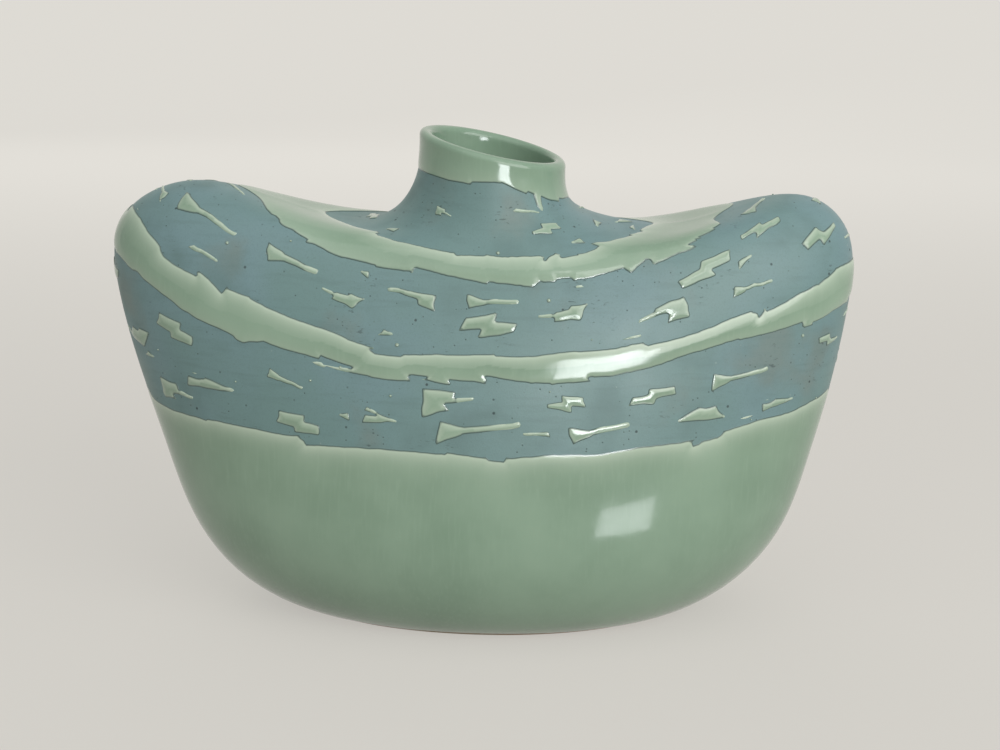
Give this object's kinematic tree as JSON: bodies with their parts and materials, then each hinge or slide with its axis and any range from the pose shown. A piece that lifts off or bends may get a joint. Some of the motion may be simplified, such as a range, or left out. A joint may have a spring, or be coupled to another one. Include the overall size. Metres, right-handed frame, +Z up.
{
  "type": "pillow vase",
  "caption": "Flattened handbuilt stoneware vase with raised rounded wings, a short slanted neck and an oval foot, in blue-grey slip with celadon glaze stripes; it holds flower stems in water.",
  "frame": {"origin": "on the table, under the middle of the overall width and depth", "axes": "+Z up, +X along the width to the viewer's right in the front view, +Y to the back, so the front faces -Y"},
  "size_m": [0.2833, 0.1218, 0.1891],
  "materials": {
    "clay": "bare fired stoneware, matt and slightly gritty",
    "slip": "satin blue-grey slip with fine dark pits",
    "glaze": "glossy celadon glaze with rounded, slightly raised edges"
  },
  "bodies": {
    "root": {"base_slab": "clay", "front_wall": "clay", "back_wall": "clay", "neck_collar": "clay", "left_seam_coil": "clay", "right_seam_coil": "clay", "base_coil": "clay", "neck_coil": "clay", "lower_slip": "slip", "middle_slip": "slip", "neck_slip": "slip", "lower_glaze": "glaze", "low_glaze_stripe": "glaze", "high_glaze_stripe": "glaze", "lip_glaze": "glaze", "inner_glaze": "glaze"}
  },
  "joints": []
}
